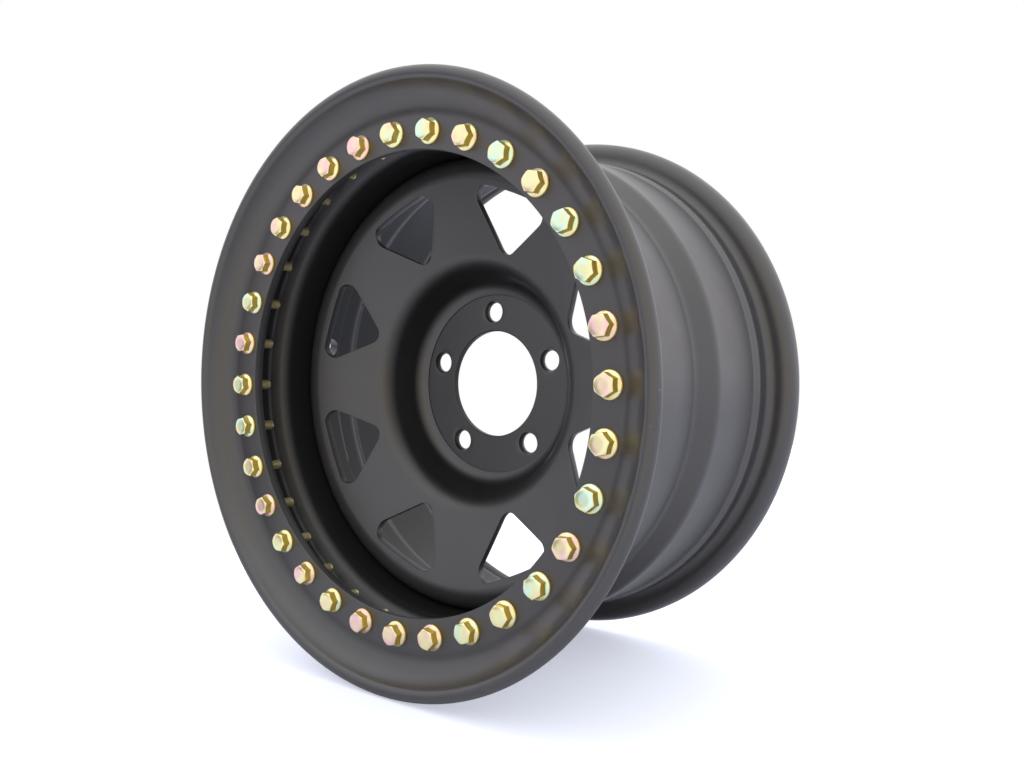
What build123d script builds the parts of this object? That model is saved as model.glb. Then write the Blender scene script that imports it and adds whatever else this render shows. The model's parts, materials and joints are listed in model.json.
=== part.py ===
from build123d import *
import os
from math import cos, radians, tan

# A 15 by 8 steel beadlock wheel: rolled rim, pressed disc, tapped lock ring and bolted clamp ring.
# Millimetres. The wheel turns about Y, its street side looks along -Y and +Z is up.
# The origin is the centre of the hub's mounting face, so y is a distance behind that face.

# Tyre seats
seat_radius = 190.1
seat_taper = 5.0
rim_width = 203.2
flange_height = 18.9
flange_reach = 13.0
flange_curl = 10.0

# Rolled rim: drops are below the tyre seat, reaches are ahead of the hub's mounting face
rim_wall = 4.0
lock_reach = 109.2
bead_setback = 8.0
front_ledge_length = 27.2
front_slope_length = 9.0
well_drop = 15.1
well_end_reach = 5.0
rear_slope_length = 13.0
ledge_drop = 4.1
hump_length = 21.0
hump_crest = 15.5
hump_end = 10.0
hump_height = 1.2
hump_foot_rise = 1.5
well_bend = 9.0
hump_bend = 8.0
seat_bend = 6.5

# Valve hole, drilled through the disc's flange and the rim's well, with its margin to the flange's edge
valve_hole_radius = 7.85
valve_margin = 1.6
valve_angle = 168.8

# Hub pad: margins are measured from the stud circle
stud_circle_radius = 57.15
stud_count = 5
stud_start_angle = 18.0
stud_hole_radius = 7.5
stud_seat_radius = 8.8
stud_seat_angle = 60.0
bore_margin = 15.25
bore_chamfer = 0.8
pad_margin = 13.45
pad_recess = 0.6

# Pressed disc, as virtual corners of its front face
disc_thickness = 5.6
disc_fit = 0.1
bowl_foot_margin = 6.4
bowl_foot_bend = 8.0
bowl_wall_angle = 65.0
bowl_rim_bend = 18.0
face_slope = 18.8
crown_setback = 10.2
crown_bend = 14.0
disc_flange_length = 37.8

# Windows, as virtual corners before they are rounded
window_count = 8
window_start_angle = 22.5
window_half_angle = 15.8
window_apex_margin = 8.0
window_base_margin = 26.4
window_bulge = 3.5
window_corner = 9.0

# Stitch welds between disc and rim
weld_count = 4
weld_arc = 27.0
weld_leg = 4.0
weld_start_angle = 178.0

# Clamp bolts, M8 with a hexagon flange head
bolt_count = 32
bolt_drop = 16.1
bolt_radius = 4.0
bolt_length = 25.0
bolt_tip_chamfer = 1.0
bolt_clearance = 0.5
thread_clearance = 0.1
head_height = 8.1
head_across_flats = 13.0
head_top_radius = 6.1
head_chamfer_angle = 30.0
washer_radius = 8.95
washer_edge = 1.4
washer_slope = 25.0
head_turn_step = 23.0

# Lock ring, welded inside the rim's front edge, with its margin inside the bolt circle
lock_margin = 9.0
lock_thickness = 5.0
lock_fit = 0.1
lock_weld_leg = 5.0

# Clamp ring, with its margins inside and outside the bolt circle
clamp_margin = 11.9
clamp_thickness = 4.8
band_margin = 13.6
band_width = 20.0
band_bend = 12.0
lip_forward = 12.35
lip_proud = 2.7
lip_radius = 6.5

# Radii and stations that follow from the driving sizes
taper = tan(radians(seat_taper))
flange_radius = seat_radius + flange_height
ledge_radius = seat_radius - ledge_drop
well_radius = seat_radius - well_drop
bolt_circle_radius = seat_radius - bolt_drop
front_ledge_radius = seat_radius - front_ledge_length * taper
seat_start_radius = seat_radius - hump_end * taper
lock_face_y = -lock_reach
front_ledge_end_y = lock_face_y + front_ledge_length
well_front_y = front_ledge_end_y + front_slope_length
well_rear_y = -well_end_reach
ledge_front_y = well_rear_y + rear_slope_length
rear_face_y = lock_face_y - bead_setback + rim_width
crown_y = well_front_y + crown_setback
disc_flange_y = crown_y + disc_flange_length
valve_y = disc_flange_y - valve_margin - valve_hole_radius

# Rim barrel: one sheet, drawn by its tyre side from the front edge to the rolled rear flange
with BuildPart() as rim_barrel:
    with BuildSketch():
        with BuildLine():
            FilletPolyline(
                (seat_radius + rim_wall * taper, lock_face_y - rim_wall),
                (front_ledge_radius, front_ledge_end_y),
                (well_radius, well_front_y),
                (well_radius, well_rear_y),
                (ledge_radius, ledge_front_y),
                (ledge_radius + hump_foot_rise, rear_face_y - hump_length),
                (seat_start_radius + hump_height, rear_face_y - hump_crest),
                (seat_start_radius, rear_face_y - hump_end),
                (seat_radius, rear_face_y),
                (flange_radius, rear_face_y),
                (flange_radius, rear_face_y + flange_reach),
                radius=[well_bend] * 4 + [hump_bend] * 3 + [seat_bend, flange_curl],
            )
            offset(amount=rim_wall, side=Side.LEFT)
        make_face()
    revolve(axis=Axis.Y)
    split(bisect_by=Plane.XZ.offset(-lock_face_y), keep=Keep.BOTTOM)
    valve_plane = Plane(origin=(0, valve_y, 0)).rotated((0, 90 - valve_angle, 0))
    with BuildSketch(valve_plane):
        Circle(valve_hole_radius)
    extrude(amount=flange_radius, mode=Mode.SUBTRACT)
rim_barrel.part.label = "rim_barrel"

# Disc corners: the bowl's wall rises from the hub pad to meet the sloping face that ends at the crown
hub_bore_radius = stud_circle_radius - bore_margin
pad_radius = stud_circle_radius + pad_margin
bowl_foot_radius = pad_radius + bowl_foot_margin
disc_radius = well_radius - rim_wall - disc_fit
wall_rise = tan(radians(bowl_wall_angle))
face_rise = tan(radians(face_slope))
wall_start = wall_rise * bowl_foot_radius - disc_thickness
face_start = face_rise * disc_radius + crown_y
bowl_rim_radius = (wall_start - face_start) / (wall_rise - face_rise)
bowl_rim_y = wall_start - wall_rise * bowl_rim_radius

# One window, on the +X side of the wheel's centre
window_apex_radius = bowl_rim_radius + window_apex_margin
window_base_distance = disc_radius - window_base_margin
window_half_width = window_base_distance * tan(radians(window_half_angle))
window_foot = (window_base_distance, -window_half_width)
window_head = (window_base_distance, window_half_width)
with BuildSketch() as window:
    with BuildLine():
        Polyline(window_head, (window_apex_radius, 0), window_foot)
        ThreePointArc(window_foot, (window_base_distance + window_bulge, 0), window_head)
    make_face()
    fillet(window.vertices(), window_corner)

# Wheel disc: one pressing, drawn by its front face from the bore to the flange inside the well
window_cut = crown_bend - crown_y
valve_cut = rim_wall + 2 * disc_thickness
with BuildPart() as wheel_disc:
    with BuildSketch():
        with BuildLine():
            FilletPolyline(
                (hub_bore_radius, -disc_thickness),
                (bowl_foot_radius, -disc_thickness),
                (bowl_rim_radius, bowl_rim_y),
                (disc_radius, crown_y),
                (disc_radius, disc_flange_y),
                radius=[bowl_foot_bend, bowl_rim_bend, crown_bend],
            )
            offset(amount=disc_thickness, side=Side.LEFT)
        make_face()
    revolve(axis=Axis.Y)
    with BuildSketch(Plane.XZ.offset(disc_thickness)):
        Circle(pad_radius)
    extrude(amount=-pad_recess, mode=Mode.SUBTRACT)
    bore_wall = wheel_disc.faces().filter_by(GeomType.CYLINDER).sort_by(SortBy.RADIUS)[0]
    chamfer(bore_wall.edges().sort_by(Axis.Y)[0], bore_chamfer)
    with Locations(Plane.XZ.offset(disc_thickness - pad_recess)):
        with PolarLocations(stud_circle_radius, stud_count, start_angle=stud_start_angle):
            CounterSinkHole(stud_hole_radius, stud_seat_radius, counter_sink_angle=stud_seat_angle)
    with BuildSketch(Plane.XZ):
        with PolarLocations(0, window_count, start_angle=window_start_angle):
            add(window.sketch)
    extrude(amount=window_cut, mode=Mode.SUBTRACT)
    with BuildSketch(valve_plane.offset(well_radius)):
        Circle(valve_hole_radius)
    extrude(amount=-valve_cut, mode=Mode.SUBTRACT)
    for stitch in range(weld_count):
        start = weld_start_angle + stitch * 360 / weld_count
        with BuildSketch(Plane.XY.rotated((0, -start, 0))):
            with BuildLine():
                Polyline(
                    (disc_radius, disc_flange_y),
                    (disc_radius, disc_flange_y + weld_leg),
                    (disc_radius - weld_leg, disc_flange_y),
                    close=True,
                )
            make_face()
        revolve(axis=Axis.Y, revolution_arc=-weld_arc)
wheel_disc.part.label = "wheel_disc"

# Lock ring: a flat tapped ring whose outer edge follows the tapered seat, with its weld behind
lock_radius = seat_radius - rim_wall / cos(radians(seat_taper)) - lock_fit
lock_rear_y = lock_face_y + lock_thickness
lock_weld_reach = lock_thickness + lock_weld_leg
with BuildPart() as inner_lock_ring:
    with BuildSketch():
        with BuildLine():
            Polyline(
                (bolt_circle_radius - lock_margin, lock_face_y),
                (lock_radius, lock_face_y),
                (lock_radius - lock_weld_reach * taper, lock_face_y + lock_weld_reach),
                (lock_radius - lock_weld_leg, lock_rear_y),
                (bolt_circle_radius - lock_margin, lock_rear_y),
                close=True,
            )
        make_face()
    revolve(axis=Axis.Y)
    with Locations(Plane.XZ.offset(-lock_face_y)):
        with PolarLocations(bolt_circle_radius, bolt_count):
            Hole(bolt_radius + thread_clearance)
inner_lock_ring.part.label = "inner_lock_ring"

# Clamp ring: a flat bolt flange, a band that slopes forwards and a rolled lip on its edge
clamp_face_y = lock_face_y - clamp_thickness
lip_y = clamp_face_y - lip_forward
band_foot_radius = bolt_circle_radius + band_margin
lip_circle_radius = band_foot_radius + band_width
with BuildPart() as outer_clamp_ring:
    with BuildSketch():
        with BuildLine():
            FilletPolyline(
                (bolt_circle_radius - clamp_margin, clamp_face_y),
                (band_foot_radius, clamp_face_y),
                (lip_circle_radius, lip_y + lip_proud),
                radius=band_bend,
            )
            offset(amount=clamp_thickness, side=Side.LEFT)
        make_face()
        with Locations((lip_circle_radius, lip_y)):
            Circle(lip_radius)
    revolve(axis=Axis.Y)
    with Locations(Plane.XZ.offset(-clamp_face_y)):
        with PolarLocations(bolt_circle_radius, bolt_count):
            Hole(bolt_radius + bolt_clearance)
outer_clamp_ring.part.label = "outer_clamp_ring"

# One bolt, standing on its washer flange at the origin with its shank along -Z
head_flat_radius = head_across_flats / 2
head_corner_radius = head_flat_radius / cos(radians(30))
head_chamfer_drop = (head_corner_radius - head_top_radius) * tan(radians(head_chamfer_angle))
washer_top = washer_edge + (washer_radius - head_flat_radius) * tan(radians(washer_slope))
with BuildPart() as bolt:
    with BuildSketch():
        RegularPolygon(head_corner_radius, 6)
    extrude(amount=head_height)
    with BuildSketch(Plane.XZ):
        with BuildLine():
            Polyline(
                (0, 0),
                (head_corner_radius, 0),
                (head_corner_radius, head_height - head_chamfer_drop),
                (head_top_radius, head_height),
                (0, head_height),
                close=True,
            )
        make_face()
    revolve(axis=Axis.Z, mode=Mode.INTERSECT)
    with BuildSketch(Plane.XZ):
        with BuildLine():
            Polyline(
                (0, 0),
                (washer_radius, 0),
                (washer_radius, washer_edge),
                (head_flat_radius, washer_top),
                (0, washer_top),
                close=True,
            )
        make_face()
    revolve(axis=Axis.Z)
    with BuildSketch():
        Circle(bolt_radius)
    extrude(amount=-bolt_length)
    chamfer(bolt.edges().sort_by(Axis.Z)[0], bolt_tip_chamfer)

# Clamp bolts: each seats on the clamp ring's face, its hexagon at the turn where it came tight
with BuildPart() as clamp_bolts:
    for index, seat in enumerate(PolarLocations(bolt_circle_radius, bolt_count).local_locations):
        with Locations(Location(Plane.XZ.offset(-clamp_face_y)) * seat):
            add(bolt.part, rotation=(0, 0, index * head_turn_step))
clamp_bolts.part.label = "clamp_bolts"

os.makedirs("parts", exist_ok=True)
export_step(rim_barrel.part, "parts/rim_barrel.step")
export_step(wheel_disc.part, "parts/wheel_disc.step")
export_step(inner_lock_ring.part, "parts/inner_lock_ring.step")
export_step(outer_clamp_ring.part, "parts/outer_clamp_ring.step")
export_step(clamp_bolts.part, "parts/clamp_bolts.step")
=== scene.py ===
"""A steel beadlock wheel: surfaces, finishes and studio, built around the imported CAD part."""

import json
from functools import partial

import bmesh
import bpy
import numpy as np
from mathutils import Matrix, Vector

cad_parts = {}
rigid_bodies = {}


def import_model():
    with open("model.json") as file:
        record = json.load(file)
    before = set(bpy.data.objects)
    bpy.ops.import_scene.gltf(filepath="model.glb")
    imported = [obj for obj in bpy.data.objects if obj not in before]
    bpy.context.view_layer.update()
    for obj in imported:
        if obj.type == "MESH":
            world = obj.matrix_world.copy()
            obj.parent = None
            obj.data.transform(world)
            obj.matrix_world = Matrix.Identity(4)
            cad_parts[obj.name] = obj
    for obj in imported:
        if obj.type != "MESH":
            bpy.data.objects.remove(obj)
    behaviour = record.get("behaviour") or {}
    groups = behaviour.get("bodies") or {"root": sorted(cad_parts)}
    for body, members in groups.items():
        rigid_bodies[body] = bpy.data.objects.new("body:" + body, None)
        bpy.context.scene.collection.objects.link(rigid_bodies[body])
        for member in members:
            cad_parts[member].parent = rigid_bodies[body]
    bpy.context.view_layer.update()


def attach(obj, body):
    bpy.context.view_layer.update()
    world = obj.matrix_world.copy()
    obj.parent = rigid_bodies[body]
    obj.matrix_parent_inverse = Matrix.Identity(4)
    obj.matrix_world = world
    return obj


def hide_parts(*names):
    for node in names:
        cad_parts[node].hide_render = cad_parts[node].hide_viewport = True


for leftover in list(bpy.data.objects):
    bpy.data.objects.remove(leftover)
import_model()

bl_info = {
    "name": "Beadlock Wheel",
    "version": (1, 0, 0),
    "blender": (4, 5, 0),
    "location": "3D View > Sidebar > Wheel",
    "description": "Builds the surfaces, finishes and studio of a steel beadlock wheel",
    "category": "Add Mesh",
}

TURN = 2 * np.pi
MM = 0.001
SMOOTH_ANGLE = np.radians(35)

# Grid columns round the whole wheel
DISC_COLUMNS = 320
RIM_COLUMNS = 320
RING_COLUMNS = 384

# How far a turned section runs past its last bend, and how far inside a ring's edge its plate starts
RUN_OUT = 0.6 * MM
PLATE_INSET = 1.5 * MM

# Points nearer to each other than the first are one point, and edges shorter than the second are dropped
SAME_POINT = 0.002 * MM
NO_EDGE = 0.0001 * MM


def length(name, millimetres, description):
    """A size that a user would change, given in millimetres and kept in metres."""
    return bpy.props.FloatProperty(
        name=name, description=description, default=millimetres / 1000, unit="LENGTH", precision=5
    )


def angle(name, degrees, description):
    """An angle that a user would change, given in degrees and kept in radians."""
    return bpy.props.FloatProperty(
        name=name, description=description, default=float(np.radians(degrees)), subtype="ANGLE"
    )


def count(name, number, description):
    """How many there are of a repeated feature."""
    return bpy.props.IntProperty(name=name, description=description, default=number, min=1)


def share(name, value, description):
    """A number from 0 to 1."""
    return bpy.props.FloatProperty(
        name=name, description=description, default=value, min=0, max=1, subtype="FACTOR"
    )


def strength(name, value, description):
    """How bright a light is."""
    return bpy.props.FloatProperty(name=name, description=description, default=value, min=0)


def vector(name, values, subtype, description):
    """A place or a direction."""
    return bpy.props.FloatVectorProperty(name=name, description=description, default=values, subtype=subtype)


def linear(hex_colour):
    """An sRGB hex colour as linear red, green, blue and alpha."""
    value = np.array([int(hex_colour[i : i + 2], 16) for i in (1, 3, 5)]) / 255
    value = np.where(value <= 0.04045, value / 12.92, ((value + 0.055) / 1.055) ** 2.4)
    return (*value.tolist(), 1.0)


def colour(name, hex_colour, description):
    """A colour that a user would change, written as an sRGB hex value."""
    return bpy.props.FloatVectorProperty(
        name=name, description=description, default=linear(hex_colour), size=4, min=0, max=1, subtype="COLOR"
    )


class RimSizes(bpy.types.PropertyGroup):
    seat_radius: length("Seat radius", 190.1, "Radius of the tyre seat at the rim's front edge")
    seat_taper: angle("Seat taper", 5, "Slope of the tyre seats")
    wall: length("Wall", 4, "Thickness of the rolled sheet")
    front_y: length("Front edge", -108.8, "Where the sheet starts, behind the clamp ring")
    front_ledge_y: length("Front ledge end", -82, "Where the front seat turns down into the well")
    well_radius: length("Well radius", 175, "Outer radius of the drop centre")
    well_front_y: length("Well front", -73, "Front corner of the drop centre")
    well_rear_y: length("Well rear", -5, "Rear corner of the drop centre")
    ledge_radius: length("Ledge radius", 186, "Radius of the long rear ledge")
    ledge_y: length("Ledge front", 8, "Where the rear ledge starts")
    ledge_rise: length("Ledge rise", 1.5, "How much the ledge widens up to the hump")
    hump_front: length("Hump front", 21, "Distance of the hump's foot from the rear flange")
    hump_top: length("Hump top", 15.5, "Distance of the hump's top from the rear flange")
    hump_rear: length("Hump rear", 10, "Where the rear seat starts, from the rear flange")
    hump_height: length("Hump height", 1.2, "Height of the safety hump over the seat")
    rear_y: length("Rear face", 86, "Tyre side of the rear flange")
    flange_radius: length("Flange radius", 209, "Outer radius of the rolled rear flange")
    flange_reach: length("Flange reach", 13, "How far the flange rolls back")
    well_bend: length("Well bend", 9, "Bend radius at the well's corners")
    hump_bend: length("Hump bend", 8, "Bend radius over the safety hump")
    seat_bend: length("Seat bend", 6.5, "Bend radius between the seat and the flange")
    flange_bend: length("Flange bend", 10, "Bend radius of the rolled flange")
    sheet_edge: length("Edge rounding", 0.7, "Rounding of the sheet's cut edges")
    valve_radius: length("Valve hole radius", 7.85, "Radius of the valve hole")
    valve_y: length("Valve hole place", -34.45, "Where the valve hole goes through flange and well")
    valve_angle: angle("Valve hole angle", 168.8, "Angle of the valve hole round the wheel")


class DiscSizes(bpy.types.PropertyGroup):
    thickness: length("Thickness", 5.6, "Thickness of the pressed sheet")
    bore_radius: length("Bore radius", 41.9, "Radius of the hub bore")
    bore_chamfer: length("Bore chamfer", 0.8, "Chamfer at the front of the hub bore")
    bore_land: length("Bore land", 2.2, "Plain ring of the pad round the bore")
    machined_edge: length("Machined edge", 0.2, "Rounding of the bore's and the nut seats' corners")
    rear_edge: length("Rear edge", 0.4, "Rounding of the bore and the windows at the back")
    stud_circle: length("Stud circle radius", 57.15, "Radius of the circle of stud holes")
    stud_count: count("Stud holes", 5, "Number of stud holes")
    stud_start: angle("First stud", 18, "Angle of the first stud hole")
    stud_radius: length("Stud hole radius", 7.5, "Radius of a stud hole")
    stud_seat: length("Nut seat radius", 8.8, "Radius of a tapered nut seat at the pad's face")
    stud_edge: length("Stud hole edge", 0.3, "Rounding of a stud hole's edges")
    seat_half_angle: angle("Nut seat half angle", 30, "Half of the nut seat's taper")
    pad_radius: length("Pad radius", 70.6, "Radius of the coined hub pad")
    pad_recess: length("Pad recess", 0.6, "Depth of the coined hub pad")
    pad_land: length("Pad land", 0.9, "Plain ring inside the pad's edge")
    pad_edge: length("Pad edge", 0.25, "Rounding of the pad's coined edge")
    foot_radius: length("Bowl foot radius", 77, "Corner between the pad and the bowl's wall")
    foot_bend: length("Bowl foot bend", 15, "Bend radius at the bowl's foot")
    foot_back: length("Bowl foot back bend", 16, "Bend radius behind the bowl's foot")
    wall_angle: angle("Bowl wall angle", 65, "Slope of the bowl's wall")
    rim_bend: length("Bowl rim bend", 22, "Bend radius where the bowl meets the face")
    face_slope: angle("Face slope", 18.8, "Slope of the windowed face")
    crown_y: length("Crown", -62.8, "Corner between the face and the outer flange")
    crown_bend: length("Crown bend", 14, "Bend radius of the crown")
    radius: length("Disc radius", 170.9, "Outer radius of the disc's flange")
    flange_y: length("Flange end", -25, "Where the disc's flange ends inside the rim")
    flange_edge: length("Flange edge", 0.7, "Rounding of the flange's cut edge")
    window_count: count("Windows", 8, "Number of windows in the face")
    window_start: angle("First window", 22.5, "Angle of the first window")
    window_apex: length("Window apex", 99, "Radius of a window's inner corner before rounding")
    window_base: length("Window base", 144.5, "Distance of a window's outer edge from the axis")
    window_half_angle: angle("Window half angle", 15.8, "Half of the angle that a window takes up")
    window_bulge: length("Window bulge", 3.5, "How far a window's outer edge bows out")
    window_corner: length("Window corner", 9, "Corner radius of a window")
    window_edge: length("Window edge", 0.45, "Rolled edge where the punch went in")


class RingSizes(bpy.types.PropertyGroup):
    bolt_circle: length("Bolt circle radius", 174, "Radius of the circle of clamp bolts")
    bolt_count: count("Bolts", 32, "Number of clamp bolts")
    clamp_inner: length("Clamp ring bore", 162.1, "Inner radius of the clamp ring")
    clamp_front_y: length("Clamp ring face", -114, "Front face of the clamp ring")
    clamp_rear_y: length("Clamp ring back", -109.2, "Back of the clamp ring, on the lock ring")
    clamp_hole: length("Clearance hole radius", 4.5, "Radius of a bolt hole in the clamp ring")
    clamp_hole_edge: length("Clearance hole edge", 0.3, "Rounding of a clearance hole's edges")
    band_foot: length("Band foot", 187.6, "Radius where the band starts to slope forwards")
    band_land: length("Band land", 7, "Flat ring inside the band's foot that is turned with the band")
    band_bend: length("Band bend", 14, "Bend radius at the band's foot")
    lip_circle: length("Lip circle", 209.1, "Radius of the rolled lip's own centre")
    lip_y: length("Lip place", -126.95, "Centre of the rolled lip along the axis")
    lip_proud: length("Lip height", 1.5, "How far the lip's centre stands ahead of the band")
    lip_radius: length("Lip radius", 5, "Radius of the rolled lip")
    lip_blend: length("Lip blend", 24, "Radius of the sweep from the band up to the lip")
    lip_heel: angle("Lip heel", 70, "How far the lip rolls past the band's direction at the back")
    lock_inner: length("Lock ring bore", 165, "Inner radius of the lock ring")
    lock_outer: length("Lock ring radius", 185.9, "Outer radius of the lock ring")
    lock_taper: length("Lock ring taper", 0.5, "How much the lock ring narrows towards its back")
    lock_rear_y: length("Lock ring back", -104.2, "Back of the lock ring")
    lock_hole: length("Tapped hole radius", 4.1, "Radius of a tapped hole in the lock ring")
    lock_edge: length("Lock ring edge", 0.2, "Rounding of its outer edges and of its holes in front")
    lock_hole_edge: length("Tapped hole edge", 0.4, "Rounding of a tapped hole at the back")
    edge: length("Edge rounding", 0.6, "Rounding of the rings' bores")


class BoltSizes(bpy.types.PropertyGroup):
    radius: length("Thread radius", 4, "Outer radius of the thread")
    root: length("Root radius", 3.35, "Radius at the bottom of the thread")
    pitch: length("Pitch", 1.25, "Distance from one thread to the next")
    reach: length("Length", 22.5, "Length under the head")
    plain: length("Plain length", 8, "Part of the shank that is hidden in the rings")
    tip: length("Tip chamfer", 1, "Chamfer at the end of the thread")
    head: length("Head height", 8.1, "Height of the head above the clamp ring")
    flats: length("Across flats", 13, "Width of the hexagon across its flats")
    top: length("Top radius", 6.1, "Radius of the flat top inside its chamfer")
    top_angle: angle("Top chamfer", 30, "Slope of the chamfer round the top")
    washer: length("Washer radius", 8.95, "Radius of the washer flange")
    washer_edge: length("Washer edge", 1.4, "Height of the washer flange's edge")
    washer_slope: angle("Washer slope", 25, "Slope of the washer flange")
    ease: length("Easing", 0.25, "Size of the head's eased edges")
    turn_step: angle("Turn step", 23, "How much further each hexagon is turned than the last")


class WeldSizes(bpy.types.PropertyGroup):
    stitch_count: count("Stitch welds", 4, "Number of welds between the disc and the rim")
    stitch_start: angle("First stitch", 178, "Angle where the first stitch weld starts")
    stitch_arc: angle("Stitch arc", 27, "Angle that one stitch weld takes up")
    stitch_radius: length("Stitch bead radius", 3.4, "Radius of a stitch weld's bead")
    stitch_taper: length("Stitch taper", 6, "Length over which a stitch weld closes at its ends")
    ring_radius: length("Ring bead radius", 2.6, "Radius of the bead behind the lock ring")
    ring_taper: length("Ring bead taper", 0.5, "Length over which the ring bead closes where its ends meet")
    ripple: length("Ripple", 2.4, "Distance between the ripples of a bead")
    ripple_depth: length("Ripple depth", 0.22, "Height of the ripples of a bead")


class FinishColours(bpy.types.PropertyGroup):
    coat: colour("Powder coat", "#303031", "Satin black of the steel")
    coat_pale: colour("Powder coat, thin", "#343335", "Where the coat lies a little thinner")
    # Painted shade: the darker colour for hollow faces and for the clamp ring's inner corner
    coat_painted_shade: colour("Powder coat, dry", "#1d1d1e", "Hollow faces, which the powder reaches last")
    speck: colour("Specks", "#8b8a88", "Dust nibs and scuffs in the coat")
    zinc_mint: colour("Zinc, mint", "#dcf5dc", "Yellow zinc where its film looks mint green")
    zinc_lime: colour("Zinc, lime", "#eef3bc", "Yellow zinc where its film looks lime")
    zinc_gold: colour("Zinc, gold", "#f6edb4", "Yellow zinc where its film looks gold")
    zinc_peach: colour("Zinc, peach", "#f8e1c2", "Yellow zinc where its film looks peach")
    zinc_pink: colour("Zinc, pink", "#f5d1c9", "Yellow zinc where its film looks pink")
    # Painted reflection: the deeper gold laid on the heads' steep sides
    zinc_side_reflection: colour("Zinc, steep sides", "#f2d363", "Deeper gold on the sides of the heads")
    # Painted shade: the duller, darker colour of the threads behind the rings
    zinc_thread_shade: colour("Zinc, threads", "#c4bb92", "Dull film on the threads behind the rings")
    coat_roughness: share("Coat roughness", 0.37, "Roughness of the satin coat")
    zinc_roughness: share("Zinc roughness", 0.2, "Roughness of the plated bolts")


class StudioSettings(bpy.types.PropertyGroup):
    floor_z: length("Floor", -214.4, "Height of the floor under the clamp ring's lip")
    floor: colour("Floor", "#d6dae6", "White sweep under the wheel")
    floor_lift: share("Floor lift", 0.6, "How much paler the camera sees the floor")
    floor_near: length("Floor corner", 550, "How far the floor reaches towards the tent's door")
    floor_far: length("Floor reach", 6000, "How far the floor reaches on its other sides")
    tent: colour("Tent", "#ffffff", "White tent round the wheel")
    tent_light: strength("Tent light", 1.7, "How bright the tent's roof is as a light")
    wall_light: strength("Wall light", 1.5, "How bright the tent's walls are as a light")
    wall_top: angle("Wall top", 25, "Height above the horizon at which the walls start to lean over")
    roof_edge: angle("Roof edge", 60, "Height above the horizon at which the walls have become the roof")
    door: colour("Door", "#141416", "The room that the tent's open side shows")
    door_bearing: angle("Door bearing", -45, "Where the tent is open, from the front to the right")
    door_half: angle("Door half width", 11, "Half of the angle that the opening takes up")
    door_drop: angle("Door drop", 6, "How far the opening's middle lies below the horizon")
    lens: bpy.props.FloatProperty(
        name="Lens", description="Focal length on a 36 mm sensor", default=30.224, unit="CAMERA"
    )
    camera_place: vector("Camera place", (0.4319, -0.5388, 0.0035), "TRANSLATION", "Where the camera stands")
    camera_view: vector("Camera view", (-0.61250, 0.79045, -0.00569), "DIRECTION", "Where the camera looks")
    camera_right: vector("Camera right", (0.79047, 0.61248, -0.00441), "DIRECTION", "The picture's right")


# The tent's walls as light: degrees from the wheel's front towards its right, and colour
TENT_WALLS = (
    (-180, "#fdfaff"),
    (-140, "#dfdde7"),
    (-25, "#dfdde7"),
    (5, "#e5e2de"),
    (30, "#eedfc2"),
    (55, "#ebe7e2"),
    (85, "#f0edf6"),
    (120, "#fdfaff"),
    (180, "#fdfaff"),
)


# Surfaces


def unit(vectors):
    """Vectors divided by their own lengths."""
    return vectors / np.linalg.norm(vectors, axis=-1, keepdims=True)


def level(y):
    """A flat face: the same height at every radius."""
    return lambda radius: np.full_like(radius, y)


def rounded(corners, bends, closed=False, steps=9, hold=0.4 * MM):
    """Corners joined by straight runs and tangent arcs, as one line of points.

    Where the line turns by an angle a, an arc of radius b starts b tan(a/2) before the corner. Its point at
    share s is that start, plus b sin(sa) along the first run, plus b (1 - cos(sa)) towards the inside of the
    turn. One more point a little outside each end keeps the shading of the straight runs straight.
    """
    corners, bends = np.asarray(corners, float), np.asarray(bends, float)
    if not closed:
        bends = np.concatenate([[0], bends, [0]])
    ahead = np.roll(corners, -1, axis=0) - corners
    run = np.linalg.norm(ahead, axis=1)
    after = unit(ahead)
    before = np.roll(after, 1, axis=0)
    cross = before[:, 0] * after[:, 1] - before[:, 1] * after[:, 0]
    turn = np.arctan2(cross, (before * after).sum(axis=1))
    inward = np.stack([-before[:, 1], before[:, 0]], axis=1) * np.sign(turn)[:, None]
    turn = np.abs(turn)
    reach = np.where(bends > 0, bends * np.tan(turn / 2), 0)
    spare = np.clip((run - reach - np.roll(reach, -1)) * 0.3, 0, hold)
    start = corners - before * reach[:, None]
    swept = np.linspace(0, 1, steps)[None, :, None] * turn[:, None, None]
    arc = start[:, None] + bends[:, None, None] * (
        np.sin(swept) * before[:, None] + (1 - np.cos(swept)) * inward[:, None]
    )
    lead = start - before * np.roll(spare, 1)[:, None]
    trail = corners + after * (reach + spare)[:, None]
    line = np.concatenate([lead[:, None], arc, trail[:, None]], axis=1)
    if closed:
        return line.reshape(-1, 2)
    return np.concatenate([corners[:1], line[1:-1].reshape(-1, 2), corners[-1:]])


def offset_line(corners, bends, wall):
    """The other side of a sheet: corners moved to the left by the wall along the mitre of their two runs.

    The mitre is the sum of the two runs' normals over one plus their dot product. A bend on a left turn gets
    tighter by the wall, and on a right turn wider.
    """
    corners, bends = np.asarray(corners, float), np.asarray(bends, float)
    run = unit(np.diff(corners, axis=0))
    normal = np.stack([-run[:, 1], run[:, 0]], axis=1)
    first, second = normal[:-1], normal[1:]
    mitre = (first + second) / (1 + (first * second).sum(axis=1, keepdims=True))
    shift = np.concatenate([normal[:1], mitre, normal[-1:]])
    side = np.sign(run[:-1, 0] * run[1:, 1] - run[:-1, 1] * run[1:, 0])
    return corners + wall * shift, bends - wall * side


def grid_faces(rows, columns, sheets=1, wrap_rows=False, wrap_columns=True):
    """Four-sided faces between neighbours on grids of points, one grid for each sheet."""
    index = np.arange(sheets * rows * columns).reshape(sheets, rows, columns)
    if wrap_rows:
        index = np.concatenate([index, index[:, :1]], axis=1)
    if wrap_columns:
        index = np.concatenate([index, index[:, :, :1]], axis=2)
    corners = [index[:, :-1, :-1], index[:, :-1, 1:], index[:, 1:, 1:], index[:, 1:, :-1]]
    return np.stack(corners, axis=-1).reshape(-1, 4)


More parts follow.
